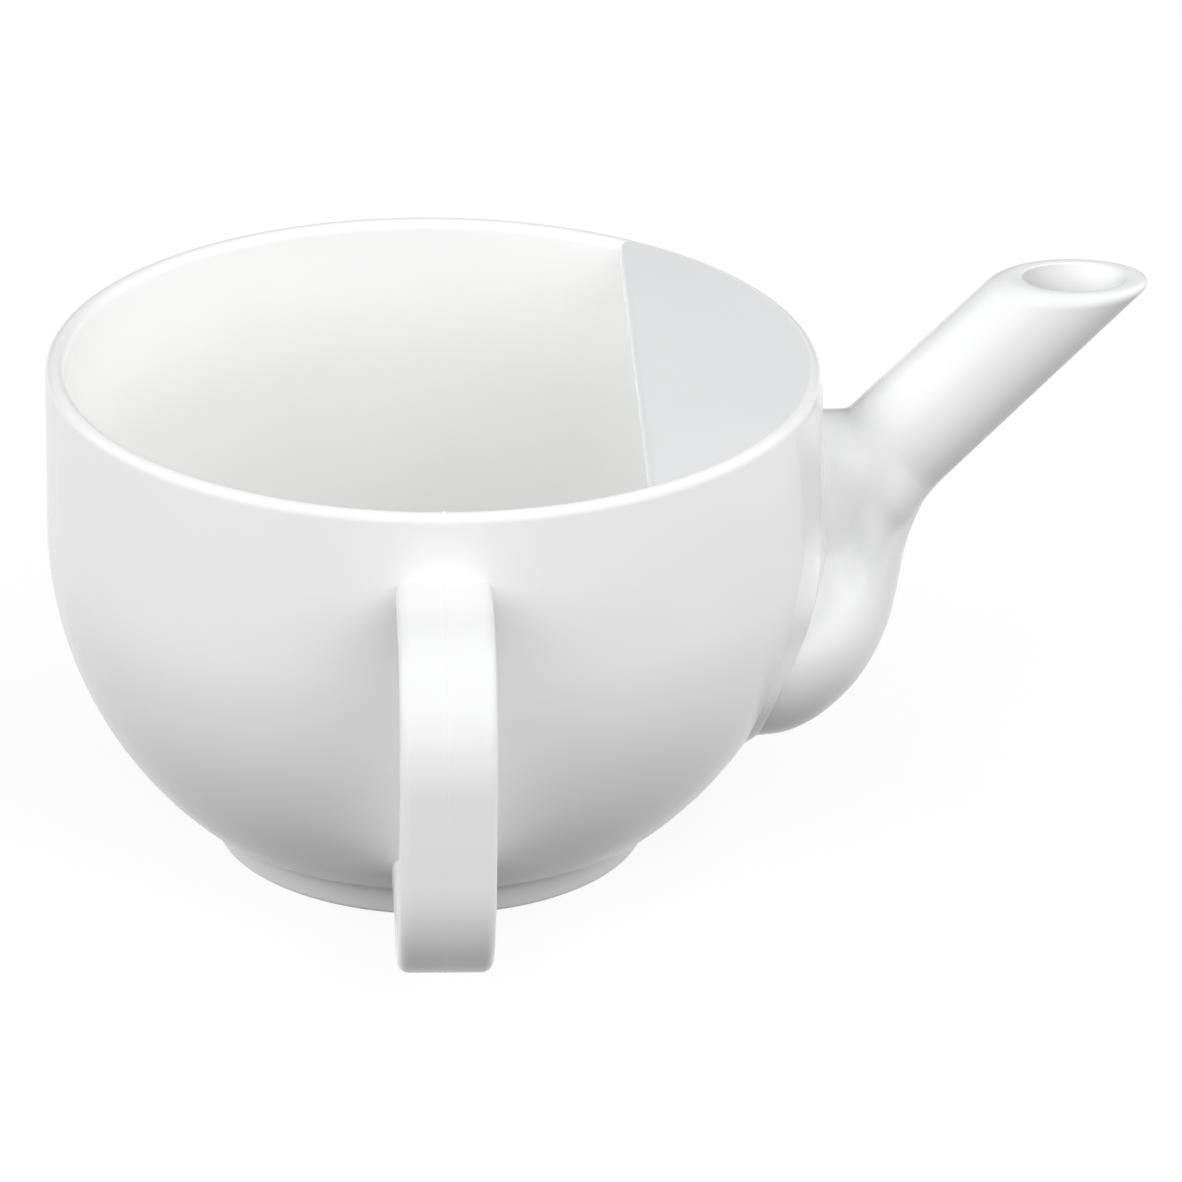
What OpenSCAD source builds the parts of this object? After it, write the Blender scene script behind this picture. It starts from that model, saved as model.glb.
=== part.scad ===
// Invalid feeder: a spouted cup with a strap handle and a half cover.
// The bowl's axis is +Z and the cup stands on z = 0. The spout points to +X and the handle to -Y.

/* [Bowl] */
// Outside diameter of the bowl
bowl_d = 100; // [88:1:112]
// Height of the lip above the table
cup_h = 66; // [60:0.5:80]
// Thickness of the bowl's wall
wall = 2.5; // [2:0.1:4]
// Diameter of the flat underside of the bowl
base_d = 65.4; // [58:0.2:70]
// Height of the flat underside above the table
base_lift = 5.8; // [4.6:0.1:8]
// Thickness of the bowl's floor
floor_t = 2.4; // [2:0.1:5]

/* [Foot ring] */
// Outside diameter of the foot ring
foot_d = 56.6; // [50:0.2:58]
// Height of the foot ring's straight outside wall
foot_h = 2.6; // [1.6:0.1:3.4]
// Diameter of the hollow under the foot ring
foot_hollow_d = 46; // [40:0.5:47]
// Thickness of the foot ring's upper edge, above its hollow curve
foot_edge = 0.4; // [0.2:0.1:0.8]
// Width of the bevel on the foot ring's lower corner
foot_bevel = 0.4; // [0.2:0.1:0.9]

/* [Half cover] */
// Distance of the cover's straight edge from the bowl's axis
cover_x = 25.8; // [15:0.2:32]
// Thickness of the cover
cover_t = 2.4; // [1.6:0.1:4]
// Depth of the cover's top below the lip
cover_drop = 0.3; // [0:0.1:3]

/* [Handle] */
// Width of the strap
strap_w = 12; // [8:0.5:18]
// Thickness of the strap
strap_t = 4; // [3:0.1:6]
// Radius of the strap's rounded edges
strap_edge = 1.3; // [0.5:0.1:1.4]
// Depth of the strap's top below the lip
handle_drop = 8.8; // [5:0.2:14]
// Distance of the strap's outer face from the bowl's wall
handle_reach = 27.2; // [24:0.2:36]
// Height of the strap's lowest face above the table
handle_lift = 9.7; // [7:0.1:14]
// Outside radius of the strap's upper bend
upper_bend_r = 16.5; // [8:0.5:20]
// Outside radius of the strap's lower bend
lower_bend_r = 18; // [10:0.5:20]

/* [Spout pocket] */
// Distance of the pocket's middle inside the bowl's outer wall
pocket_inset = 11.1; // [9:0.1:13]
// Depth of the pocket's middle below the ball's middle
pocket_drop = 8.6; // [6:0.1:11]
// Half the width of the pocket, and the radius of its rounded sides
pocket_round = 17.4; // [15:0.1:19]
// Radius of the flat middle of the pocket's two sides
pocket_core = 4.3; // [3:0.1:7]
// Radius of the ball that forms the pocket's shoulder
shoulder_round = 14.4; // [13.6:0.1:15]
// Distance of the shoulder's middle along the tube's axis
shoulder_reach = 12; // [10:0.1:14]
// Radius of the hollow curve where the pocket turns into the tube
collar_curve = 18.5; // [14:0.5:22]
// Slope of the pocket's shoulder below that curve, against the tube's axis
collar_slope = 36; // [28:1:38]
// Width of the port between the bowl and the pocket
port_w = 14; // [8:0.5:16]
// Height of the port between the bowl and the pocket
port_h = 20; // [17:0.5:22]
// Depth of the port's middle below the pocket's middle
port_drop = 6; // [4:0.5:8]

/* [Spout tube] */
// Angle of the tube above the table
spout_angle = 45.9; // [40:0.1:52]
// Depth of the tube's axis below the pocket's middle
axis_drop = 2.9; // [2:0.1:5]
// Outside diameter of the tube at the collar
tube_root_d = 15.1; // [13:0.1:17]
// Outside diameter of the tube at its mouth
tube_tip_d = 14.7; // [12:0.1:16]
// Diameter of the bore
bore_d = 9.6; // [6:0.1:10.4]
// Height of the mouth above the lip
mouth_rise = 11.2; // [8:0.2:20]
// Length cut off square from the sharp tip of the mouth
tip_blunt = 1.4; // [0.4:0.1:3]

/* [Fit] */
// Gap of the joints between the pieces
seam = 0.1; // [0.05:0.05:0.3]

/* [Hidden] */
$fn = 96;

bowl_r = bowl_d / 2;
inner_r = bowl_r - wall;
lip_r = wall / 2;
lip_z = cup_h - lip_r;
// The ball's middle lies where the ball is as wide as the flat underside
ball_z = base_lift + sqrt(bowl_r * bowl_r - base_d * base_d / 4);
floor_z = base_lift + floor_t;
// A length that reaches past the whole cup, for cutting
past = bowl_d + cup_h;

foot_r = foot_d / 2;
foot_hollow_r = foot_hollow_d / 2;
foot_cove = base_lift - foot_h - foot_edge;

cover_z = cup_h - cover_drop - cover_t;
cover_r = inner_r - seam;

handle_top = cup_h - handle_drop;
handle_out = bowl_r + handle_reach;
upper_bend = [handle_out - upper_bend_r, handle_top - upper_bend_r];
lower_bend = [handle_out - lower_bend_r, handle_lift + lower_bend_r];
// Flats that make up each rounded edge of the strap
edge_steps = 4;

pocket_x = bowl_r - pocket_inset;
pocket_z = ball_z - pocket_drop;
port_z = pocket_z - port_drop;
axis_z = pocket_z - axis_drop;
tube_root_r = tube_root_d / 2;
// The shoulder ball turns into a cone, the cone into the hollow curve, and that into the tube
cone_r = shoulder_round * cos(collar_slope);
cone_t = shoulder_reach + shoulder_round * sin(collar_slope);
curve_r = tube_root_r + collar_curve * (1 - cos(collar_slope));
curve_t = cone_t + (cone_r - curve_r) / tan(collar_slope);
collar_reach = curve_t + collar_curve * sin(collar_slope);
mouth_z = cup_h + mouth_rise;
mouth_reach = (mouth_z - axis_z) / sin(spout_angle);
tube_l = mouth_reach - collar_reach;
taper = (tube_root_d - tube_tip_d) / 2 / tube_l;
// The lower side of the tube runs on past the middle of the level mouth
tube_end = tube_l + tube_tip_d / 2 / tan(spout_angle) - tip_blunt;

plastic = "white";

// Half outline of a ball of radius r whose middle lies at ball_z, with a straight wall up to top
module ball_outline(r, low, top) {
    intersection() {
        union() {
            translate([0, ball_z]) circle(r);
            translate([0, ball_z]) square([r, top - ball_z]);
        }
        translate([0, low]) square([r + past, top - low]);
    }
}

// Solid of the bowl's outside, grown by one seam, that cuts the seats of the pieces on it
module bowl_seat() {
    rotate_extrude() ball_outline(bowl_r + seam, -past, cup_h + past);
}

// Lower half of the bowl as a ball, upper half as a straight wall with a rounded lip
module cup_bowl() {
    color(plastic) difference() {
        rotate_extrude() {
            difference() {
                ball_outline(bowl_r, base_lift, lip_z);
                ball_outline(inner_r, floor_z, cup_h);
            }
            translate([bowl_r - lip_r, lip_z]) circle(lip_r);
        }
        port();
    }
}

// Upright slot with round ends, through the wall behind the pocket
module port() {
    straight = port_h - port_w;
    translate([pocket_x - pocket_inset, 0, port_z]) rotate([90, 0, 90]) linear_extrude(past) {
        square([port_w, straight], center = true);
        for (side = [-1, 1]) translate([0, side * straight / 2]) circle(d = port_w);
    }
}

// Low ring whose wall turns outwards in a hollow curve to the bowl's flat underside
module foot_ring() {
    color(plastic) rotate_extrude() difference() {
        polygon([
            [foot_hollow_r, 0],
            [foot_r - foot_bevel, 0],
            [foot_r, foot_bevel],
            [foot_r, foot_h],
            [foot_r + foot_cove, foot_h],
            [foot_r + foot_cove, base_lift],
            [foot_hollow_r, base_lift]
        ]);
        translate([foot_r + foot_cove, foot_h]) circle(foot_cove);
    }
}

// Plate with one straight, rounded edge, inside the bowl's wall
module half_cover() {
    color(plastic) intersection() {
        translate([0, 0, cover_z]) cylinder(r = cover_r, h = cover_t);
        translate([0, past / 2, cover_z + cover_t / 2]) rotate([90, 0, 0]) linear_extrude(past) {
            translate([cover_x + cover_t / 2, 0]) circle(d = cover_t);
            translate([cover_x + cover_t / 2, -cover_t / 2]) square([bowl_r, cover_t]);
        }
    }
}

// Middle of one of the strap's four rounded edges, and a point on that edge at an angle
function edge_middle(i) = [
    (i == 0 || i == 3 ? 1 : -1) * (strap_t / 2 - strap_edge),
    (i < 2 ? 1 : -1) * (strap_w / 2 - strap_edge)
];
function edge_point(i, turn) = edge_middle(i) + strap_edge * [cos(turn), sin(turn)];

// Section of the strap: x across its thickness, y across its width
module strap_section() {
    polygon([for (i = [0:3]) for (k = [0:edge_steps]) edge_point(i, 90 * (i + k / edge_steps))]);
}

// Quarter bend of the strap round a point of the loop's plane, from one angle on
module strap_bend(at, outer_r, from) {
    translate(at) rotate([0, 0, from]) rotate_extrude(angle = 90)
        translate([outer_r - strap_t / 2, 0]) strap_section();
}

// Strap bent into a loop in its own plane, turned towards -Y and cut to the bowl
module handle() {
    color(plastic) difference() {
        rotate([90, 0, -90]) {
            translate([0, handle_top - strap_t / 2]) rotate([90, 0, 90])
                linear_extrude(upper_bend[0]) strap_section();
            strap_bend(upper_bend, upper_bend_r, 0);
            translate([handle_out - strap_t / 2, lower_bend[1]]) rotate([-90, 0, 0])
                linear_extrude(upper_bend[1] - lower_bend[1]) strap_section();
            strap_bend(lower_bend, lower_bend_r, -90);
            translate([0, handle_lift + strap_t / 2]) rotate([90, 0, 90])
                linear_extrude(lower_bend[0]) strap_section();
        }
        bowl_seat();
    }
}

// Places a child whose own +Z is the tube's axis, with its origin level with the pocket's middle
module along_spout() {
    translate([pocket_x, 0, axis_z]) rotate([0, 90 - spout_angle, 0]) children();
}

// Flattened ball that the pocket's outside and its hollow are both made from
module pocket_ball(skin) {
    round_r = pocket_round - skin;
    translate([pocket_x, 0, pocket_z]) rotate([90, 0, 0]) rotate_extrude() intersection() {
        union() {
            translate([pocket_core, 0]) circle(round_r);
            translate([0, -round_r]) square([pocket_core, 2 * round_r]);
        }
        translate([0, -round_r]) square([pocket_core + round_r, 2 * round_r]);
    }
}

// Shoulder ball, cone and hollow curve, turned in one piece, that lead from the pocket to the tube
module collar() {
    along_spout() rotate_extrude() difference() {
        union() {
            intersection() {
                translate([0, shoulder_reach]) circle(shoulder_round);
                square([shoulder_round, cone_t]);
            }
            polygon([
                [0, shoulder_reach],
                [cone_r, cone_t],
                [curve_r, curve_t],
                [curve_r, collar_reach],
                [0, collar_reach]
            ]);
        }
        translate([tube_root_r + collar_curve, collar_reach]) circle(collar_curve);
    }
}

// Hollow that narrows from the pocket's shoulder to the bore
module funnel() {
    cylinder(r1 = cone_r - wall, r2 = bore_d / 2, h = collar_reach - shoulder_reach);
}

// Chamber on the outside of the bowl, hollow and open towards the port
module spout_pocket() {
    color(plastic) difference() {
        union() {
            pocket_ball(0);
            collar();
        }
        pocket_ball(wall);
        along_spout() translate([0, 0, shoulder_reach]) funnel();
        bowl_seat();
    }
}

// Tapered tube from the pocket's collar up to a mouth that is cut level
module spout_tube() {
    color(plastic) difference() {
        along_spout() translate([0, 0, collar_reach])
            cylinder(r1 = tube_root_r, r2 = tube_root_r - taper * tube_end, h = tube_end);
        along_spout() cylinder(d = bore_d, h = mouth_reach + past);
        translate([0, -past, mouth_z]) cube([2 * past, 2 * past, past]);
    }
}

cup_bowl();
foot_ring();
half_cover();
handle();
spout_pocket();
spout_tube();
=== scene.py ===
# %% [markdown]
# # A white feeding cup for someone who drinks lying down
# The cup is a round bowl on a foot ring, with a half cover over one side of its mouth, a strap handle,
# and a spout that starts in a rounded chamber low on the bowl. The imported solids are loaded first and
# stay where they are. Every visible piece below is modelled in the same frame, in metres, and stands for
# one solid.

# %% Load the solids
import math

import bmesh
import bpy
from mathutils import Matrix, Vector


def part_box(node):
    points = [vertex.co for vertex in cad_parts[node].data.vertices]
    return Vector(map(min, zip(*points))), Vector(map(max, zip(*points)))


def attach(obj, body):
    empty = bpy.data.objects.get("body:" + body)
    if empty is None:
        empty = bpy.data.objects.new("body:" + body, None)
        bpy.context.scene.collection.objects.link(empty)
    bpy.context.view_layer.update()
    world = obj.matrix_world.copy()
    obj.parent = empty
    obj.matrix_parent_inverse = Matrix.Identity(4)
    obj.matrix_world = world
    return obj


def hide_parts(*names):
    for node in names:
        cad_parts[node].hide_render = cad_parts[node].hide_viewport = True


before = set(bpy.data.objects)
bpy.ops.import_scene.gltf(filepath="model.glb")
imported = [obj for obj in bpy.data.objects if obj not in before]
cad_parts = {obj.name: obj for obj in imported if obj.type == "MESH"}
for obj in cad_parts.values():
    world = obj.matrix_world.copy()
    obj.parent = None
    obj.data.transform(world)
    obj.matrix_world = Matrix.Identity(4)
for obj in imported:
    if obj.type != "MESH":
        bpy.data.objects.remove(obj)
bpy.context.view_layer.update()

MM = 0.001
BODY = "root"
print("solids:", ", ".join(sorted(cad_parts)))

# %% [markdown]
# ## Sizes
# The boxes of the solids give the big sizes, so the looks follow if the solids change. What a box can't
# tell, such as the thickness of a wall, is written here once, in millimetres, as a maker would note it.

# %% Sizes of the bowl
bowl_low, bowl_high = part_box("cup_bowl")
bowl_r = bowl_high.y
lip_top = bowl_high.z
base_z = bowl_low.z
wall = 2.5 * MM
floor_t = 2.4 * MM
base_r = 32.7 * MM
inner_r = bowl_r - wall
lip_r = wall / 2
lip_z = lip_top - lip_r
ball_z = base_z + math.sqrt(bowl_r ** 2 - base_r ** 2)
floor_z = base_z + floor_t
print(f"bowl {2 * bowl_r / MM:.1f} mm wide, lip at {lip_top / MM:.1f} mm")
print(f"middle of the ball at {ball_z / MM:.1f} mm")

# %% [markdown]
# ## Small tools for drawing a section
# A turned form is a section that is spun once round an axis. The section itself can be drawn with the same
# operator: a single vertex that is spun draws an arc, and one that is extruded draws a line. That keeps
# round stretches truly round, and no list of points has to be worked out.

# %% Draw lines and arcs, then turn them
TURN = 2 * math.pi
AROUND = 160
# Points nearer to each other than this, in metres, become one
MERGE = 1e-7


def line_to(bm, corner, x, z):
    """Draws a line from a corner to (x, z) in the section's plane."""
    made = bmesh.ops.extrude_vert_indiv(bm, verts=[corner])["verts"][0]
    made.co = (x, 0, z)
    return made


def arc_to(bm, corner, middle_x, middle_z, degrees, steps):
    """Draws an arc round a middle. A positive angle turns from +X up towards +Z."""
    turned = bmesh.ops.spin(bm, geom=[corner], cent=(middle_x, 0, middle_z), axis=(0, -1, 0),
                            angle=math.radians(degrees), steps=steps, use_duplicate=False)
    return [item for item in turned["geom_last"] if isinstance(item, bmesh.types.BMVert)][0]


def turn_section(bm):
    """Spins the drawn section once round the Z axis and closes its seam and its poles."""
    bmesh.ops.spin(bm, geom=bm.verts[:] + bm.edges[:], cent=(0, 0, 0), axis=(0, 0, 1),
                   angle=TURN, steps=AROUND, use_merge=True, use_duplicate=False)
    bmesh.ops.remove_doubles(bm, verts=bm.verts[:], dist=MERGE)
    bmesh.ops.recalc_face_normals(bm, faces=bm.faces[:])


# %% [markdown]
# A turned form is sharp wherever its section had a corner. On the real cup those corners are rounded. A
# corner has become a ring of edges, so it is found again by its radius and height, and a bevel with a round
# profile makes an arc of it.

# %% Find a ring of edges and round it
# How far off a ring or a face, in metres, a point may lie and still belong to it
SLACK = 1e-5


def ring_edges(bm, radius, height):
    """The edges of the ring at one radius and height of a turned form."""
    def on_ring(v):
        return abs(math.hypot(v.co.x, v.co.y) - radius) < SLACK and abs(v.co.z - height) < SLACK
    return [e for e in bm.edges if on_ring(e.verts[0]) and on_ring(e.verts[1])]


def round_edges(bm, edges, offset, segments):
    """Bevels edges into an arc that begins at an offset on either side."""
    bmesh.ops.bevel(bm, geom=edges, offset=offset, affect="EDGES", segments=segments,
                    profile=0.5, material=-1, clamp_overlap=True, loop_slide=True)


# %% [markdown]
# ## Finishing a piece
# Every piece ends the same way: smooth shading with a crease where the surface really turns, and one
# material.
# It is hung under the empty of the body that carries it, and the solid it stands for is hidden.

# %% Turn a bmesh into a finished piece
CREASE = math.radians(32)


def finish_piece(bm, name, node, material):
    """Shades a piece, gives it its material and notes what it stands for."""
    for face in bm.faces:
        face.smooth = True
    for edge in bm.edges:
        edge.smooth = edge.calc_face_angle(0) < CREASE
    mesh = bpy.data.meshes.new(name)
    bm.to_mesh(mesh)
    bm.free()
    piece = bpy.data.objects.new(name, mesh)
    bpy.context.scene.collection.objects.link(piece)
    mesh.materials.append(material)
    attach(piece, BODY)
    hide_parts(node)
    print(f"{name}: {len(mesh.vertices)} vertices, {len(mesh.polygons)} faces, stands for {node}")


# %% [markdown]
# ## The white finish
# The real cup is one opaque, glossy white all over. A white that is the same everywhere looks like paint on
# a screen, so three faint patterns are laid into it. A broad one shifts the white by a trace, as thickness
# does in a moulding. A finer one changes the gloss in patches, as handling does. A very fine one lifts the
# surface by a few thousandths of a millimetre, which makes reflections waver a little. All three read Object
# coordinates, so they stay put when the piece is exported.

# %% Describe a glossy white
DRIFT_SCALE = 45
PATCH_SCALE = 260
RIPPLE_SCALE = 420
ripple_height = 0.01 * MM


def white_gloss(name, light, shade, roughness):
    """A white that drifts between two tones, with patches between two values of roughness."""
    material = bpy.data.materials.new(name)
    material.use_nodes = True
    nodes = material.node_tree.nodes
    link = material.node_tree.links.new
    shader = nodes["Principled BSDF"]
    shader.inputs["IOR"].default_value = 1.49
    shader.inputs["Specular IOR Level"].default_value = 0.18
    place = nodes.new("ShaderNodeTexCoord")

    def noise(scale, detail):
        node = nodes.new("ShaderNodeTexNoise")
        node.inputs["Scale"].default_value = scale
        node.inputs["Detail"].default_value = detail
        link(place.outputs["Object"], node.inputs["Vector"])
        return node.outputs["Fac"]

    tone = nodes.new("ShaderNodeValToRGB")
    tone.color_ramp.elements[0].position = 0.35
    tone.color_ramp.elements[0].color = (*shade, 1)
    tone.color_ramp.elements[1].position = 0.65
    tone.color_ramp.elements[1].color = (*light, 1)
    link(noise(DRIFT_SCALE, detail=2), tone.inputs["Fac"])
    link(tone.outputs["Color"], shader.inputs["Base Color"])

    gloss = nodes.new("ShaderNodeMapRange")
    gloss.inputs["From Min"].default_value = 0.3
    gloss.inputs["From Max"].default_value = 0.7
    gloss.inputs["To Min"].default_value = roughness[0]
    gloss.inputs["To Max"].default_value = roughness[1]
    link(noise(PATCH_SCALE, detail=4), gloss.inputs["Value"])
    link(gloss.outputs["Result"], shader.inputs["Roughness"])

    ripple = nodes.new("ShaderNodeBump")
    ripple.inputs["Strength"].default_value = 0.35
    ripple.inputs["Distance"].default_value = ripple_height
    link(noise(RIPPLE_SCALE, detail=2), ripple.inputs["Height"])
    link(ripple.outputs["Normal"], shader.inputs["Normal"])
    return material


# %% [markdown]
# The pieces differ by a trace of tone. The cover's greyer, cooler white is painted shade, as the level plate
# takes less light than the upright walls, and it is also a little duller than the rest. The handle's
# slightly darker white is painted shade too, which holds down its brightly lit top. One function makes all
# four whites, so a change to the finish reaches every piece.

# %% Mix the four whites
# Lowest and highest roughness
GLOSSY = (0.17, 0.24)
SATIN = (0.19, 0.26)
bowl_gloss = white_gloss("bowl_gloss", (0.935, 0.94, 0.93), (0.92, 0.925, 0.915), GLOSSY)
# The cover's greyer, cooler white is painted shade: the level plate takes less light than the upright walls
cover_shaded_gloss = white_gloss("cover_shaded_gloss", (0.86, 0.868, 0.872), (0.845, 0.853, 0.858), SATIN)
# The handle's slightly darker white is painted shade that holds down the brightly lit top of the strap
handle_shaded_gloss = white_gloss("handle_shaded_gloss", (0.89, 0.892, 0.89), (0.876, 0.878, 0.876), GLOSSY)
spout_gloss = white_gloss("spout_gloss", (0.91, 0.913, 0.91), (0.895, 0.898, 0.895), GLOSSY)
print("finishes:", bowl_gloss.name, cover_shaded_gloss.name, handle_shaded_gloss.name, spout_gloss.name)

# %% [markdown]
# ## The bowl
# The bowl is a ball below and a straight wall above, both of one thickness, with a lip as round as a wire.
# A sphere with its top cut off and a Solidify would give a wall too, but not the full-round lip or the flat
# floor. So the section is drawn once: out along the underside, up the ball and the wall, over the lip, and
# down the inside to the floor.

# %% Draw and turn the bowl
BALL_STEPS = 44
LIP_STEPS = 14
base_edge = 0.45 * MM
floor_cove = 6 * MM
base_angle = math.degrees(math.asin((ball_z - base_z) / bowl_r))
floor_angle = math.degrees(math.asin((ball_z - floor_z) / inner_r))
floor_r = inner_r * math.cos(math.radians(floor_angle))

bowl = bmesh.new()
corner = bowl.verts.new((0, 0, base_z))
corner = line_to(bowl, corner, base_r, base_z)
corner = arc_to(bowl, corner, 0, ball_z, base_angle, BALL_STEPS)
corner = line_to(bowl, corner, bowl_r, lip_z)
corner = arc_to(bowl, corner, bowl_r - lip_r, lip_z, 180, LIP_STEPS)
corner = line_to(bowl, corner, inner_r, ball_z)
corner = arc_to(bowl, corner, 0, ball_z, -floor_angle, BALL_STEPS)
line_to(bowl, corner, 0, floor_z)
turn_section(bowl)
round_edges(bowl, ring_edges(bowl, base_r, base_z), base_edge, segments=3)
round_edges(bowl, ring_edges(bowl, floor_r, floor_z), floor_cove, segments=8)
print(f"bowl section turned into {len(bowl.faces)} faces")

# %% [markdown]
# The drink leaves the bowl through an upright slot behind the spout's chamber. It is cut with a Boolean,
# because the slot crosses a curved wall and no edge of the bowl lies where it goes. The cutter is a circle
# whose two halves are pulled apart and then extruded through the wall.

# %% Make the cutter of the port
port_w = 14 * MM
port_h = 20 * MM
port_z = 29 * MM
port_reach = (30 * MM, 60 * MM)


def port_cutter():
    """An upright slot with round ends that passes right through the bowl's wall."""
    bm = bmesh.new()
    upright = Matrix.Rotation(math.radians(90), 4, "Y")
    disc = bmesh.ops.create_circle(bm, cap_ends=True, segments=48, radius=port_w / 2, matrix=upright)
    stretch = (port_h - port_w) / 2
    for v in disc["verts"]:
        v.co += Vector((port_reach[0], 0, port_z + math.copysign(stretch, v.co.z)))
    far = bmesh.ops.extrude_face_region(bm, geom=bm.faces[:])["geom"]
    far_verts = [item for item in far if isinstance(item, bmesh.types.BMVert)]
    bmesh.ops.translate(bm, verts=far_verts, vec=(port_reach[1] - port_reach[0], 0, 0))
    bmesh.ops.recalc_face_normals(bm, faces=bm.faces[:])
    mesh = bpy.data.meshes.new("port_cutter")
    bm.to_mesh(mesh)
    bm.free()
    cutter = bpy.data.objects.new("port_cutter", mesh)
    bpy.context.scene.collection.objects.link(cutter)
    return cutter


cutter = port_cutter()
print(f"cutter of {len(cutter.data.polygons)} faces for a port of {port_w / MM:.0f} by {port_h / MM:.0f} mm")

# %% [markdown]
# A Boolean is a modifier, and a modifier works on an object, while the bowl is still a bmesh. A small helper
# puts the bmesh into a passing object, runs one modifier on it and reads the result back. The cutter is
# removed once it has cut.

# %% Cut the port
def run_modifier(bm, kind, **settings):
    """Runs one modifier on a bmesh and gives the result back as a new bmesh."""
    mesh = bpy.data.meshes.new("before")
    bm.to_mesh(mesh)
    bm.free()
    before = bpy.data.objects.new("before", mesh)
    bpy.context.scene.collection.objects.link(before)
    modifier = before.modifiers.new("step", kind)
    for setting, value in settings.items():
        setattr(modifier, setting, value)
    after = bmesh.new()
    after.from_object(before, bpy.context.evaluated_depsgraph_get())
    bpy.data.objects.remove(before)
    bpy.data.meshes.remove(mesh)
    return after


bowl = run_modifier(bowl, "BOOLEAN", object=cutter, operation="DIFFERENCE", solver="EXACT")
bpy.data.objects.remove(cutter)
print(f"port cut, the bowl now has {len(bowl.faces)} faces")

# %% [markdown]
# The mould left a nib on the crown of the lip, above the handle. It is too small to be worth a Boolean, so a
# tiny ball is sunk into the lip and stays a loose shell in the bowl's mesh.

# %% Set the nib and finish the bowl
nib_r = 0.3 * MM
nib_sink = nib_r / 4
nib_place = Matrix.Translation((0, -bowl_r + lip_r, lip_top - nib_sink))
bmesh.ops.create_uvsphere(bowl, u_segments=16, v_segments=10, radius=nib_r, matrix=nib_place)
finish_piece(bowl, "bowl", "cup_bowl", bowl_gloss)

# %% [markdown]
# ## The foot ring
# The cup stands on a low ring whose wall turns outwards in a hollow curve under the bowl's overhanging
# underside. A squat tube with a loop cut could be pushed into that form, but a drawn section gives the curve
# at once. The section is closed and keeps off the axis, so the ring is open in the middle, and its two lower
# corners are rounded after turning.

# %% Draw and turn the foot ring
foot_top_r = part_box("foot_ring")[1].x
foot_wall_h = 2.6 * MM
foot_edge = 0.4 * MM
foot_cove = base_z - foot_wall_h - foot_edge
foot_r = foot_top_r - foot_cove
foot_hollow_r = 23 * MM
foot_round = 0.6 * MM

foot = bmesh.new()
first = foot.verts.new((foot_hollow_r, 0, 0))
corner = line_to(foot, first, foot_r, 0)
corner = line_to(foot, corner, foot_r, foot_wall_h)
corner = arc_to(foot, corner, foot_top_r, foot_wall_h, -90, steps=12)
corner = line_to(foot, corner, foot_top_r, base_z)
corner = line_to(foot, corner, foot_hollow_r, base_z)
bmesh.ops.contextual_create(foot, geom=[corner, first])
turn_section(foot)
lower_corners = ring_edges(foot, foot_r, 0) + ring_edges(foot, foot_hollow_r, 0)
round_edges(foot, lower_corners, foot_round, segments=4)
finish_piece(foot, "foot_ring_turned", "foot_ring", bowl_gloss)

# %% [markdown]
# ## The half cover
# A plate closes the spout side of the mouth, so that the drink doesn't pour over the face. Its top is level
# with the crown of the lip, so plate and lip look like one. A disc cut along a line would do, but its
# rounded edge runs into two sharp corners, where a bevel gets stuck. So the section of the plate, with its
# round edge, is drawn once, at one end of the straight edge.

# %% Draw the section of the cover
cover_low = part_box("half_cover")[0]
cover_sink = 0.01 * MM
cover_tip = 0.4 * MM
cover_x = cover_low.x
cover_rim_r = bowl_r - lip_r
cover_top = lip_top - cover_sink
cover_round = (cover_top - cover_low.z) / 2
flat_x = cover_x + cover_round
cover_end = math.sqrt(cover_rim_r ** 2 - (flat_x + cover_tip) ** 2)
COVER_COLUMNS = 9


def rim_x(y):
    """Where the crown of the lip lies at a distance from the middle of the cover."""
    return math.sqrt(cover_rim_r ** 2 - y ** 2)


cover = bmesh.new()
first = cover.verts.new((rim_x(cover_end), 0, cover_low.z))
corner = line_to(cover, first, flat_x, cover_low.z)
corner = arc_to(cover, corner, flat_x, cover_top - cover_round, -180, steps=16)
corner = line_to(cover, corner, rim_x(cover_end), cover_top)
bmesh.ops.contextual_create(cover, geom=[corner, first])
flats = [e for e in cover.edges if abs(e.verts[0].co.z - e.verts[1].co.z) < MERGE]
bmesh.ops.subdivide_edges(cover, edges=flats, cuts=COVER_COLUMNS)
bmesh.ops.translate(cover, verts=cover.verts[:], vec=(0, -cover_end, 0))
print(f"cover section of {len(cover.verts)} corners, straight edge {2 * cover_end / MM:.1f} mm long")

# %% [markdown]
# The section is extruded across the bowl row by row, and the flat part of each new row is stretched out to
# the lip. The rows lie closer together near both ends, where the lip turns away fastest.

# %% Extrude the cover across the bowl
COVER_ROWS = 90


def extrude_loop(bm, loop, vector):
    """Extrudes a closed loop of edges along a vector. Gives the new loop."""
    made = bmesh.ops.extrude_edge_only(bm, edges=loop)["geom"]
    bmesh.ops.translate(bm, verts=[g for g in made if isinstance(g, bmesh.types.BMVert)], vec=vector)
    return [g for g in made if isinstance(g, bmesh.types.BMEdge) and len(g.link_faces) == 1]


def close_ends(bm):
    """Closes every open end of a swept form and turns all faces outwards."""
    bmesh.ops.holes_fill(bm, edges=[e for e in bm.edges if len(e.link_faces) == 1], sides=0)
    bmesh.ops.recalc_face_normals(bm, faces=bm.faces[:])


loop = cover.edges[:]
y = -cover_end
for row in range(1, COVER_ROWS + 1):
    next_y = -cover_end * math.cos(math.pi * row / COVER_ROWS)
    loop = extrude_loop(cover, loop, (0, next_y - y, 0))
    stretch = (rim_x(next_y) - flat_x) / (rim_x(y) - flat_x)
    for v in {v for e in loop for v in e.verts if v.co.x > flat_x}:
        v.co.x = flat_x + (v.co.x - flat_x) * stretch
    y = next_y
close_ends(cover)
finish_piece(cover, "cover_plate", "half_cover", cover_shaded_gloss)

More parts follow.
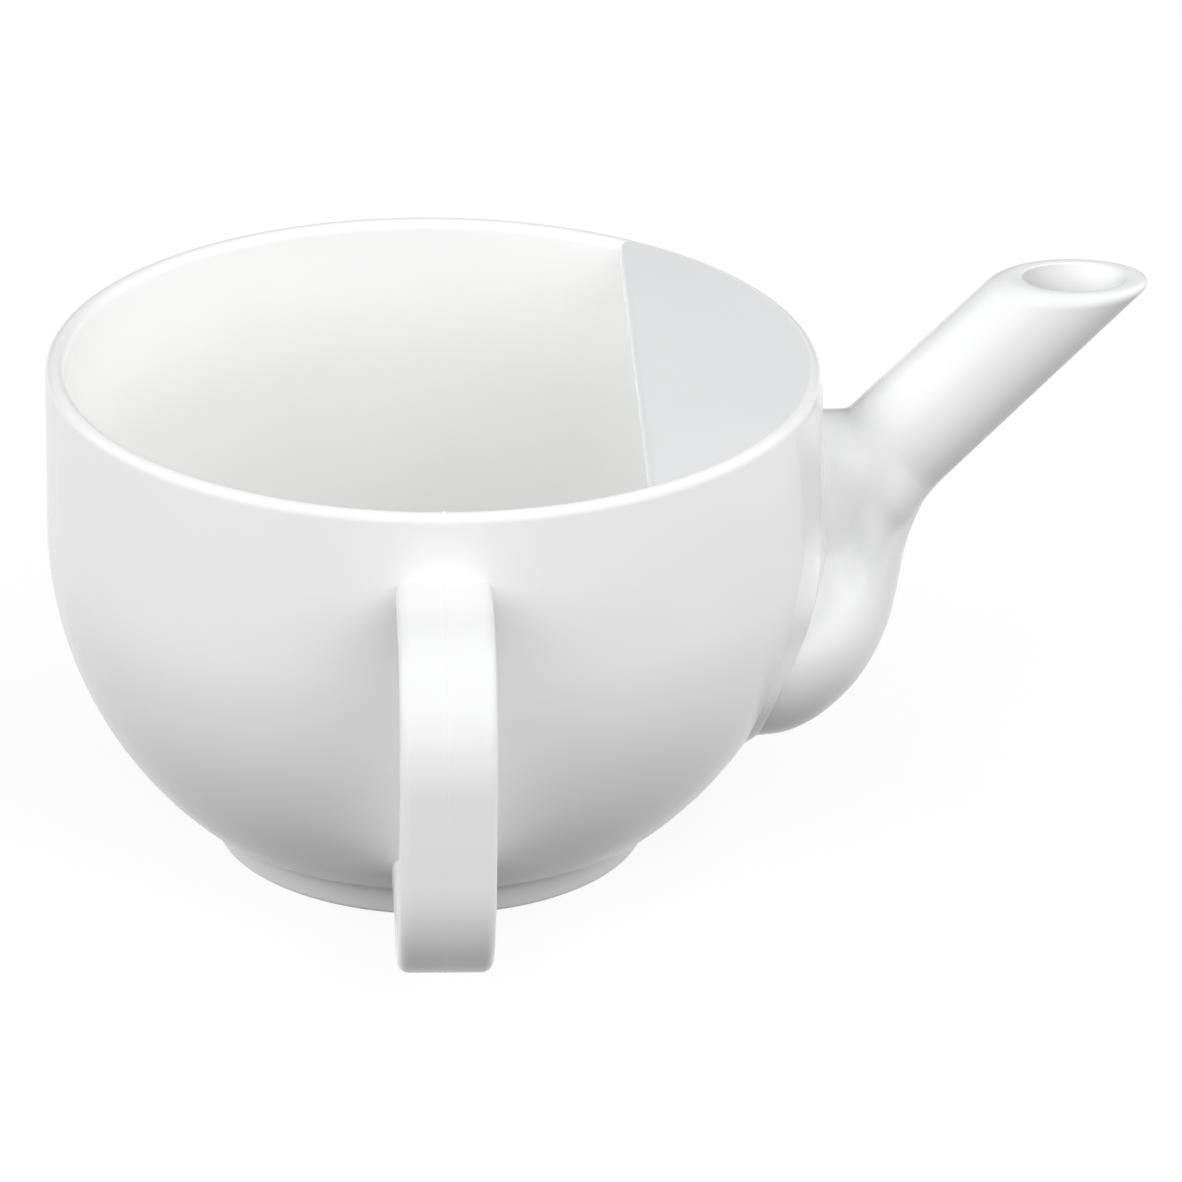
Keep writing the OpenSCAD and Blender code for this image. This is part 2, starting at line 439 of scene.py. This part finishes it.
# %% [markdown]
# ## The strap handle
# The handle is a flat strap, bent twice and joined to the bowl at both ends. A curve with a bevel object
# would also sweep a strap, but here the way is only straight legs and quarter bends, so one rounded section
# is extruded along each leg and spun through each bend. A fine bead runs along the middle of the outer face,
# where the two halves of the mould met.

# %% Draw the section of the strap
strap_low, strap_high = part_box("handle")
strap_w = strap_high.x - strap_low.x
strap_t = 4 * MM
strap_edge = 1.5 * MM
bead_w = 0.3 * MM
bead_h = 0.05 * MM
FLAT_CUTS = 9
upper_z = strap_high.z - strap_t / 2
leg_start = Vector((0, -inner_r - wall / 2, upper_z))

strap = bmesh.new()
upright = Matrix.Translation(leg_start) @ Matrix.Rotation(math.radians(90), 4, "X")
section_scale = Matrix.Diagonal((strap_w, strap_t, 1, 1))
bmesh.ops.create_grid(strap, x_segments=1, y_segments=1, size=0.5, matrix=upright @ section_scale)
bmesh.ops.bevel(strap, geom=strap.verts[:], offset=strap_edge, affect="VERTICES", segments=5,
                profile=0.5, material=-1)
bmesh.ops.delete(strap, geom=strap.faces[:], context="FACES_ONLY")
flats = [e for e in strap.edges if e.calc_length() > strap_edge / 2]
bmesh.ops.subdivide_edges(strap, edges=flats, cuts=FLAT_CUTS)
outer_face = [v for v in strap.verts if abs(v.co.z - strap_high.z) < SLACK]
outer_face.sort(key=lambda v: v.co.x)
bead_middle = len(outer_face) // 2
for offset in range(-2, 3):
    outer_face[bead_middle + offset].co.x = offset * bead_w / 2
outer_face[bead_middle].co.z += bead_h
print(f"strap section of {len(strap.verts)} corners")

# %% [markdown]
# The section goes out from the wall, round the upper bend, down, round the lower bend and back. Each end
# lies in the middle of the bowl's wall, so that neither a gap shows outside nor a stump inside. The lower
# end is cut along the slope of the ball for the same reason.

# %% Sweep the strap
BEND_STEPS = 24
upper_bend_outside = 16.5 * MM
lower_bend_outside = 18 * MM
upper_bend_r = upper_bend_outside - strap_t / 2
lower_bend_r = lower_bend_outside - strap_t / 2
lower_z = strap_low.z + strap_t / 2
outer_y = strap_low.y + strap_t / 2
upper_y = outer_y + upper_bend_r
lower_y = outer_y + lower_bend_r


def bend(bm, loop, middle_y, middle_z):
    """Spins a loop of edges through a quarter bend. Gives the loop at its end."""
    turned = bmesh.ops.spin(bm, geom=loop, cent=(0, middle_y, middle_z), axis=(1, 0, 0),
                            angle=math.radians(90), steps=BEND_STEPS, use_duplicate=False)
    return [g for g in turned["geom_last"] if isinstance(g, bmesh.types.BMEdge)]


loop = extrude_loop(strap, strap.edges[:], (0, upper_y - leg_start.y, 0))
loop = bend(strap, loop, upper_y, upper_z - upper_bend_r)
loop = extrude_loop(strap, loop, (0, 0, (lower_z + lower_bend_r) - (upper_z - upper_bend_r)))
loop = bend(strap, loop, lower_y, lower_z + lower_bend_r)
extrude_loop(strap, loop, (0, leg_start.y / 2 - lower_y, 0))

mid_wall_r = bowl_r - wall / 2
drop = ball_z - lower_z
slope_point = Vector((0, -math.sqrt(mid_wall_r ** 2 - drop ** 2), lower_z))
slope_normal = slope_point - Vector((0, 0, ball_z))
below = [f for f in strap.faces if f.calc_center_median().z < lower_z + strap_t]
near_leg = set(below) | {e for f in below for e in f.edges} | {v for f in below for v in f.verts}
bmesh.ops.bisect_plane(strap, geom=list(near_leg), plane_co=slope_point, plane_no=slope_normal,
                       clear_inner=True)
close_ends(strap)
finish_piece(strap, "strap_handle", "handle", handle_shaded_gloss)

# %% [markdown]
# ## The spout's tube
# The tube is a slightly tapered pipe that leans away from the bowl. Its solid's box stands upright, so the
# middle of the root is worked out from the box's lower corner and the lean. A matrix then stands a circle
# there, square to the tube's axis, and the chamber starts from the same circle later.

# %% Stand the root of the tube
spout_angle = math.radians(45.9)
tube_low, tube_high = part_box("spout_tube")
root_r = (tube_high.y - tube_low.y) / 2
root_x = tube_low.x + root_r * math.sin(spout_angle)
root_z = tube_low.z + root_r * math.cos(spout_angle)
root = Vector((root_x, 0, root_z))
axis = Vector((math.cos(spout_angle), 0, math.sin(spout_angle)))
stand = Matrix.Translation(root) @ Matrix.Rotation(math.radians(90) - spout_angle, 4, "Y")
TUBE_AROUND = 144


def first_ring(bm):
    """The ring at the tube's root, as a loop of edges and a row of points."""
    ring = bmesh.ops.create_circle(bm, cap_ends=False, segments=TUBE_AROUND, radius=root_r, matrix=stand)
    return bm.edges[:], ring["verts"]


print(f"tube's root {2 * root_r / MM:.1f} mm wide, at x {root.x / MM:.1f}, z {root.z / MM:.1f} mm")

# %% [markdown]
# The mouth is cut level, so that it lies flat against a lip, and both of its edges are rounded. Two cones
# cut by a plane would have to be joined up again before a bevel could round them. So one ring is extruded
# row by row: up the skin to the mouth, across the mouth to the bore, down the bore to the root and back to
# the first ring. The points of the mouth slide along the axis to one level.

# %% Extrude and round the tube
tip_r = 7.35 * MM
bore_r = 4.8 * MM
mouth_z = tube_high.z
mouth_round = 1.7 * MM
bore_round = 0.3 * MM


def extrude_row(bm, loop, row):
    """Extrudes a closed loop of edges. Gives the new loop, and its points in the order of the old row."""
    made = bmesh.ops.extrude_edge_only(bm, edges=loop)["geom"]
    new_loop = [g for g in made if isinstance(g, bmesh.types.BMEdge) and len(g.link_faces) == 1]
    new_verts = {g for g in made if isinstance(g, bmesh.types.BMVert)}
    new_row = [[e.other_vert(v) for e in v.link_edges if e.other_vert(v) in new_verts][0] for v in row]
    return new_loop, new_row


def level(point):
    """Slides a point along the tube's axis up to the height of the mouth."""
    return point + axis * (mouth_z - point.z) / axis.z


tube = bmesh.new()
loop, root_row = first_ring(tube)
arms = [(v.co - root) / root_r for v in root_row]
loop, mouth_row = extrude_row(tube, loop, root_row)
for v, arm in zip(mouth_row, arms):
    v.co = level(root + arm * tip_r)
mouth_edges = loop
loop, bore_row = extrude_row(tube, loop, mouth_row)
for v, arm in zip(bore_row, arms):
    v.co = level(root + arm * bore_r)
bore_edges = loop
loop, seat_row = extrude_row(tube, loop, bore_row)
for v, arm in zip(seat_row, arms):
    v.co = root + arm * bore_r
last_row = extrude_row(tube, loop, seat_row)[1]
for v, arm in zip(last_row, arms):
    v.co = root + arm * root_r
bmesh.ops.remove_doubles(tube, verts=root_row + last_row, dist=MERGE)
bmesh.ops.recalc_face_normals(tube, faces=tube.faces[:])
round_edges(tube, mouth_edges, mouth_round, segments=8)
round_edges(tube, bore_edges, bore_round, segments=3)
finish_piece(tube, "spout_pipe", "spout_tube", spout_gloss)

# %% [markdown]
# ## The spout's chamber
# The chamber swells out of the bowl like half a pear and narrows into the tube. Balls and cones joined by
# Booleans would leave hard lines where they meet, so it is lofted: rings lie in planes that fan about one
# line above the saddle, from the tube's root round to the upright and a little past it. Each ring is the
# outline of two ovals melted together, the neck's above and the belly's below. A few stations say where the
# ovals begin and end and how wide they are.

# %% Stations of the chamber
fan_x = 45 * MM
fan_start = 90 - math.degrees(spout_angle)
crest_reach = (root.x - fan_x) / math.sin(spout_angle) - root_r
fan_z = root.z + (crest_reach + root_r) * math.cos(spout_angle)
# Angle below the level in degrees, then in millimetres the upper end, lower end and half width of the neck,
# and the upper end, lower end and half width of the belly
stations = [
    (fan_start, crest_reach / MM, (crest_reach + 2 * root_r) / MM, root_r / MM,
     18.0, (crest_reach + 2 * root_r) / MM, 0),
    (50, 15.2, 30.5, 7.6, 19.0, 30.7, 4.0),
    (56, 15.3, 30.9, 7.8, 20.5, 32.3, 6.2),
    (62, 14.5, 30.8, 8.0, 22.5, 35.4, 7.6),
    (67, 13.8, 33.0, 8.2, 24.0, 40.2, 8.8),
    (70.5, 13.4, 35.0, 8.3, 26.3, 44.0, 10.2),
    (74, 13.2, 36.5, 8.5, 28.0, 47.0, 12.8),
    (77.5, 13.0, 37.5, 8.8, 28.0, 49.7, 15.2),
    (80.5, 12.9, 37.5, 9.0, 28.0, 51.6, 16.7),
    (85, 12.8, 37.5, 9.2, 28.0, 54.2, 18.0),
    (90, 12.7, 37.5, 9.3, 28.0, 56.0, 18.6),
    (104, 12.7, 37.5, 9.3, 28.0, 57.3, 18.6),
]
print(f"fan line at x {fan_x / MM:.1f}, z {fan_z / MM:.1f} mm, crest {crest_reach / MM:.1f} mm below it")

# %% [markdown]
# The skin between two stations has to be as smooth as the real one. A straight blend would show a kink at
# every station, so each value follows a curve that takes its slope at a station from the neighbours on both
# sides. The pad further down is blended by the same helper.

# %% Blend between stations
def between(stations, angle):
    """The values at an angle, on a smooth curve through the stations."""
    first = stations[0]
    second = stations[1]
    lead_in = (2 * first[0] - second[0], *second[1:])
    padded = [lead_in, *stations, stations[-1]]
    index = 1
    while index < len(stations) - 1 and angle > padded[index + 1][0]:
        index += 1
    before, start, end, after = padded[index - 1:index + 3]
    span = end[0] - start[0]
    t = (angle - start[0]) / span
    values = []
    for k in range(1, len(first)):
        start_slope = (end[k] - before[k]) / (end[0] - before[0]) * span
        end_slope = (after[k] - start[k]) / (after[0] - start[0]) * span
        values.append((2 * t ** 3 - 3 * t ** 2 + 1) * start[k] + (t ** 3 - 2 * t ** 2 + t) * start_slope
                      + (3 * t ** 2 - 2 * t ** 3) * end[k] + (t ** 3 - t ** 2) * end_slope)
    return values


UPRIGHT = 90
print("upright ring, in mm:", [round(value, 1) for value in between(stations, UPRIGHT)])

# %% [markdown]
# Two angles lead to a point of the skin. The first picks the plane of its ring in the fan, and the second
# goes round the ring. A union of neck and belly would have a notch where the ovals cross. The cube root of
# the sum of their cubes follows the wider one and melts the notch away.

# %% Place a point of the chamber's skin
def oval(reach, upper, lower, half_w, soft_shoulder=False):
    """Half width of an oval at a reach, and 0 past its ends. A soft shoulder has a pointed upper end."""
    share = (2 * reach - upper - lower) / (lower - upper)
    power = 1 if soft_shoulder and share < 0 else 0.5
    return half_w * max(1 - share ** 2, 0) ** power


def skin_point(angle, turn):
    """A point of the ring at a fan angle. Turn 0 is the ring's lowest point and pi its crest."""
    crest, neck_end, neck_w, belly_start, low, belly_w = between(stations, angle)
    out = Vector((math.cos(math.radians(angle)), 0, -math.sin(math.radians(angle))))
    reach = (low + crest) / 2 + (low - crest) / 2 * math.cos(turn)
    neck = oval(reach, crest, neck_end, neck_w)
    belly = oval(reach, belly_start, low, belly_w, soft_shoulder=True)
    sideways = math.copysign((neck ** 3 + belly ** 3) ** (1 / 3), turn)
    return Vector((fan_x, 0, fan_z)) + out * reach * MM + Vector((0, sideways * MM, 0))


upright_low = skin_point(UPRIGHT, 0)
upright_crest = skin_point(UPRIGHT, math.pi)
print(f"upright ring from z {upright_low.z / MM:.1f} to {upright_crest.z / MM:.1f} mm")

# %% [markdown]
# Chamber and neck stand on a flat pad. Its edge slopes down to the bowl's wall and ends in a crisp crease,
# which climbs from below the chamber round its shoulder and up to the lip. A cut-out plate would have the
# same edge all round, but the real edge is steep below and wide at the shoulder. So stations describe the
# pad, as seen from the spout's side, in directions round its middle.

# %% Stations of the pad
pad_z = 46 * MM
# Angle from straight down in degrees, then in millimetres how far off the bowl the chamber meets the pad,
# the distance of the pad's edge and how far off the bowl it lies, and the distance of the crease
pad = [
    (0, 0.5, 31.6, 0.45, 32.3),
    (10, 0.55, 31.5, 0.5, 32.2),
    (20, 0.65, 31.2, 0.6, 31.9),
    (30, 0.8, 30.4, 0.75, 31.1),
    (36, 0.9, 29.4, 0.85, 30.2),
    (41, 1.0, 28.2, 1.0, 29.1),
    (45, 1.1, 26.7, 1.1, 27.8),
    (49, 1.2, 24.7, 1.25, 26.0),
    (54, 1.3, 22.3, 1.5, 23.8),
    (58, 1.4, 21.0, 1.7, 22.5),
    (62, 1.5, 20.2, 1.9, 21.7),
    (67, 1.6, 19.1, 2.0, 20.6),
    (73, 1.6, 17.4, 1.9, 18.9),
    (82, 1.3, 14.3, 1.6, 16.8),
    (88, 1.2, 12.5, 1.4, 16.1),
    (97, 1.1, 11.5, 1.25, 16.0),
    (108, 1.0, 12.4, 1.2, 17.6),
    (119, 1.0, 14.2, 1.2, 20.5),
    (126, 1.0, 16.4, 1.2, 24.2),
    (131, 0.9, 18.6, 1.2, 27.0),
    (140, 0.8, 18.9, 0.95, 23.3),
    (156, 0.5, 17.7, 0.5, 19.6),
    (180, 0.3, 16.7, 0.1, 17.8),
]


def pad_at(point):
    """The stations' values in the direction of a point, in metres."""
    angle = math.degrees(math.atan2(abs(point.y), pad_z - point.z))
    return [value * MM for value in between(pad, angle)]


print(f"pad given at {len(pad)} angles round a middle at z {pad_z / MM:.0f} mm")

# %% [markdown]
# Every lengthwise line of the loft stops at the height of the pad. The angle where it does is found by
# halving an interval, and the rings are shared out evenly up to it, so the last ring hugs the bowl.

# %% Loft the chamber
RINGS = 60
HALVINGS = 40
last_angle = stations[-1][0]


def gap_to_bowl(point):
    """Distance of a point from the bowl's outside."""
    return (point - Vector((0, 0, max(point.z, ball_z)))).length - bowl_r


def stop_angle(turn):
    """The fan angle at which a lengthwise line of the loft comes down to the pad."""
    near = fan_start
    far = last_angle
    for _ in range(HALVINGS):
        half = (near + far) / 2
        point = skin_point(half, turn)
        if gap_to_bowl(point) > pad_at(point)[0]:
            near = half
        else:
            far = half
    return near


chamber = bmesh.new()
loop, row = first_ring(chamber)
side = Vector((0, 1, 0))
downward = stand.to_3x3() @ Vector((1, 0, 0))
turn_of = [math.atan2((v.co - root).dot(side), (v.co - root).dot(downward)) for v in row]
stop_of = [stop_angle(turn) for turn in turn_of]
for step in range(1, RINGS + 1):
    loop, row = extrude_row(chamber, loop, row)
    for v, turn, stop in zip(row, turn_of, stop_of):
        v.co = skin_point(fan_start + (stop - fan_start) * step / RINGS, turn)
print(f"chamber lofted with {RINGS + 1} rings of {len(row)} points")

# %% [markdown]
# The pad goes on from the last ring. A separate plate would need a Boolean against the soft skin, so the
# ring is extruded instead: outwards to the pad's edge, then down the edge to the crease. Both are looked for
# in the direction of each point of the ring, the edge a little off the bowl's wall and the crease on it.

# %% Find the pad's edge and crease
edge_margin = 0.1 * MM
least_strip = 0.8 * MM


def off_bowl(y, z, gap):
    """The point at a height and distance sideways that is a gap off the bowl."""
    level_r = bowl_r + gap
    if z < ball_z:
        level_r = math.sqrt(level_r ** 2 - (ball_z - z) ** 2)
    return Vector((math.sqrt(level_r ** 2 - y ** 2), y, z))


def pad_points(point):
    """The points on the pad's edge and on the crease that belong to a point of the last ring."""
    edge_r, edge_gap, crease_r = pad_at(point)[1:]
    spot = Vector((point.y, point.z - pad_z))
    edge_r = max(edge_r, spot.length + edge_margin)
    crease_r = max(crease_r, edge_r + least_strip)
    edge_spot = spot.normalized() * edge_r
    crease_spot = spot.normalized() * crease_r
    edge_point = off_bowl(edge_spot.x, pad_z + edge_spot.y, edge_gap)
    crease_point = off_bowl(crease_spot.x, pad_z + crease_spot.y, 0)
    return edge_point, crease_point


foot_points = [v.co.copy() for v in row]
edge_points, crease_points = zip(*[pad_points(point) for point in foot_points])
print(f"crease reaches down to z {min(point.z for point in crease_points) / MM:.1f} mm")

# %% [markdown]
# A last step of the extrusion goes into the bowl's wall, so that no gap shows along the crease. Up to here
# the chamber is a skin without thickness, and a Solidify that grows inwards gives it its wall.

# %% Extrude the pad and thicken the chamber
PAD_STEPS = 3
bury = 0.9 * MM
skin = 1.4 * MM


def bowl_normal(point):
    """Direction straight out of the bowl's wall at a point."""
    if point.z > ball_z:
        return Vector((point.x, point.y, 0)).normalized()
    return (point - Vector((0, 0, ball_z))).normalized()


for start, end in ((foot_points, edge_points), (edge_points, crease_points)):
    for step in range(1, PAD_STEPS + 1):
        loop, row = extrude_row(chamber, loop, row)
        for v, from_point, to_point in zip(row, start, end):
            v.co = from_point.lerp(to_point, step / PAD_STEPS)
buried_row = extrude_row(chamber, loop, row)[1]
for v in buried_row:
    v.co -= bowl_normal(v.co) * bury
bmesh.ops.recalc_face_normals(chamber, faces=chamber.faces[:])
chamber = run_modifier(chamber, "SOLIDIFY", thickness=skin, offset=-1, use_even_offset=False)
finish_piece(chamber, "spout_chamber", "spout_pocket", spout_gloss)

# %% [markdown]
# ## Floor, light and camera
# The cup stands on a wide floor. A plane would do, but its corners could come into view from the side, so it
# is a big disc. It lies a hair below the foot, so that the two faces don't share one height.

# %% Lay the floor
studio_r = 4
floor_drop = 0.05 * MM
floor_mesh = bmesh.new()
bmesh.ops.create_circle(floor_mesh, cap_ends=True, segments=64, radius=studio_r)
bmesh.ops.translate(floor_mesh, verts=floor_mesh.verts[:], vec=(0, 0, -floor_drop))
mesh = bpy.data.meshes.new("studio_floor")
floor_mesh.to_mesh(mesh)
floor_mesh.free()
floor = bpy.data.objects.new("studio_floor", mesh)
bpy.context.scene.collection.objects.link(floor)
print(f"floor {2 * studio_r} m wide, {floor_drop / MM:.2f} mm below the foot")

# %% [markdown]
# The floor looks white to the camera and in reflections, and keeps the cup's shadow, but sends only a little
# light back up, as a dark table under it would. A white paint alone would light the cup from below. So the
# paint is dark and matt, and a glow is added only for rays that come from the camera, from a reflection or
# through something clear.

# %% Paint the floor
floor_grey = 0.15
floor_glow = 0.87
floor_paint = bpy.data.materials.new("floor_paint")
floor_paint.use_nodes = True
nodes = floor_paint.node_tree.nodes
link = floor_paint.node_tree.links.new
nodes.remove(nodes["Principled BSDF"])
matt = nodes.new("ShaderNodeBsdfDiffuse")
matt.inputs["Color"].default_value = (floor_grey, floor_grey, floor_grey, 1)
glow = nodes.new("ShaderNodeEmission")
glow.inputs["Strength"].default_value = floor_glow
both = nodes.new("ShaderNodeAddShader")
seen = nodes.new("ShaderNodeMixShader")
path = nodes.new("ShaderNodeLightPath")
either = nodes.new("ShaderNodeMath")
either.operation = "MAXIMUM"
any_ray = nodes.new("ShaderNodeMath")
any_ray.operation = "MAXIMUM"
link(path.outputs["Is Camera Ray"], either.inputs[0])
link(path.outputs["Is Glossy Ray"], either.inputs[1])
link(either.outputs[0], any_ray.inputs[0])
link(path.outputs["Is Transmission Ray"], any_ray.inputs[1])
link(matt.outputs[0], both.inputs[0])
link(glow.outputs[0], both.inputs[1])
link(any_ray.outputs[0], seen.inputs["Fac"])
link(matt.outputs[0], seen.inputs[1])
link(both.outputs[0], seen.inputs[2])
link(seen.outputs[0], nodes["Material Output"].inputs["Surface"])
mesh.materials.append(floor_paint)
print("floor painted:", floor_paint.name)

# %% [markdown]
# The light in the photograph is soft and comes from both sides and the front. One big lamp would leave the
# far side dark, and light from all around would take away the shading. So five square softboxes stand in a
# half circle round the front, about 30 degrees up, and the world itself stays dim.

# %% World and lamps
world = bpy.data.worlds.new("studio")
bpy.context.scene.world = world
world.use_nodes = True
sky = world.node_tree.nodes["Background"]
sky.inputs["Color"].default_value = (0.9, 0.93, 0.95, 1)
sky.inputs["Strength"].default_value = 0.1

LAMP_SIZE = 1.0
LAMP_DISTANCE = 1.2
lamp_aim = Vector((0.01, 0, 0.04))


def soft_lamp(name, bearing, height, watts):
    """Stands a square softbox at a bearing from the front, to the right, and at a height, in degrees."""
    data = bpy.data.lights.new(name, "AREA")
    data.shape = "SQUARE"
    data.size = LAMP_SIZE
    data.energy = watts
    lamp = bpy.data.objects.new(name, data)
    flat = math.cos(math.radians(height))
    away = Vector((math.sin(math.radians(bearing)) * flat, -math.cos(math.radians(bearing)) * flat,
                   math.sin(math.radians(height))))
    lamp.location = lamp_aim + away * LAMP_DISTANCE
    lamp.rotation_euler = (-away).to_track_quat("-Z", "Y").to_euler()
    bpy.context.scene.collection.objects.link(lamp)
    return lamp


lamps = [
    soft_lamp("left_side", -100, 25, 7.1),
    soft_lamp("left_front", -40, 31, 7.1),
    soft_lamp("front", 15, 34, 3.8),
    soft_lamp("right_front", 40, 31, 4.6),
    soft_lamp("right_side", 100, 32, 7.8),
]
print("lamps:", ", ".join(lamp.name for lamp in lamps))

# %% [markdown]
# The camera stands where the photograph was taken from: in front, a touch to the left, looking down by
# about 24 degrees through a long lens. It could be aimed with a constraint, but the picture is also tilted
# by a trace, so the camera's own right and up are given. The Standard view shows colours about as they are
# written.

# %% Camera
camera_place = Vector((-0.02976, -1.01017, 0.4923))
right = Vector((0.99894, -0.0437, 0.01384))
up = Vector((0.00548, 0.4136, 0.91043))
back = right.cross(up)
camera_data = bpy.data.cameras.new("photo_camera")
camera_data.sensor_width = 36
camera_data.sensor_fit = "HORIZONTAL"
camera_data.lens = 258.9
camera = bpy.data.objects.new("photo_camera", camera_data)
facing = Matrix((right, up, back)).transposed().to_4x4()
camera.matrix_world = Matrix.Translation(camera_place) @ facing
bpy.context.scene.collection.objects.link(camera)
bpy.context.scene.camera = camera
bpy.context.scene.view_settings.view_transform = "Standard"
print(f"camera {camera_place.length:.2f} m from the middle of the foot, lens {camera_data.lens:.0f} mm")
